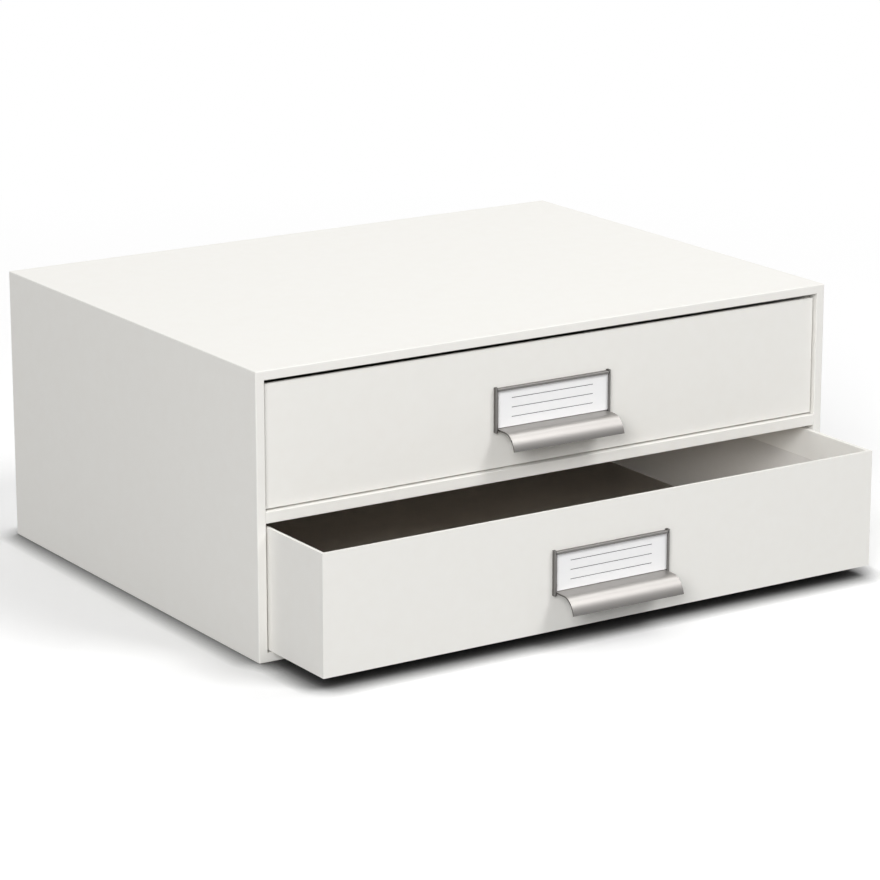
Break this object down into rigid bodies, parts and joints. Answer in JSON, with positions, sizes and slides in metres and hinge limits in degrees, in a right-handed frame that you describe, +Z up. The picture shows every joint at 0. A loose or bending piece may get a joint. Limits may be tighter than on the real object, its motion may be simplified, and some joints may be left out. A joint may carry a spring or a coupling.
{
  "type": "two-drawer desktop storage chest",
  "caption": "Low white paper-covered board chest with two sliding drawers, each with a metal label holder whose lower edge is a finger lip; one drawer stands partly open.",
  "frame": {"origin": "middle of the cabinet's underside", "axes": "+Z up, the drawers open towards -Y, +X to the right as the user faces the drawers"},
  "size_m": [0.3336, 0.3171, 0.1414],
  "materials": {
    "covered_board": "matte white paper-covered board",
    "lining_board": "light warm-grey lining paper",
    "satin_metal": "satin pressed sheet",
    "rivet_metal": "plain rolled rivet",
    "label_card": "smooth white card"
  },
  "bodies": {
    "cabinet": {"cabinet_top": "covered_board", "cabinet_bottom": "covered_board", "cabinet_left_side": "covered_board", "cabinet_right_side": "covered_board", "cabinet_back": "covered_board", "divider_shelf": "covered_board"},
    "upper_drawer": {"upper_drawer_front": "covered_board", "upper_drawer_back": "covered_board", "upper_drawer_left_side": "covered_board", "upper_drawer_right_side": "covered_board", "upper_drawer_floor": "lining_board", "upper_base_sheet": "lining_board", "upper_label_pull": "satin_metal", "upper_label_card": "label_card", "upper_pull_rivets": "rivet_metal"},
    "lower_drawer": {"lower_drawer_front": "covered_board", "lower_drawer_back": "covered_board", "lower_drawer_left_side": "covered_board", "lower_drawer_right_side": "covered_board", "lower_drawer_floor": "lining_board", "lower_base_sheet": "lining_board", "lower_label_pull": "satin_metal", "lower_label_card": "label_card", "lower_pull_rivets": "rivet_metal"}
  },
  "joints": [
    {"name": "upper_drawer_slide", "type": "slide", "parent": "cabinet", "child": "upper_drawer", "axis": [0, -1, 0], "range_m": [0, 0.2]},
    {"name": "lower_drawer_slide", "type": "slide", "parent": "cabinet", "child": "lower_drawer", "axis": [0, -1, 0], "range_m": [-0.0505, 0.1495]}
  ]
}
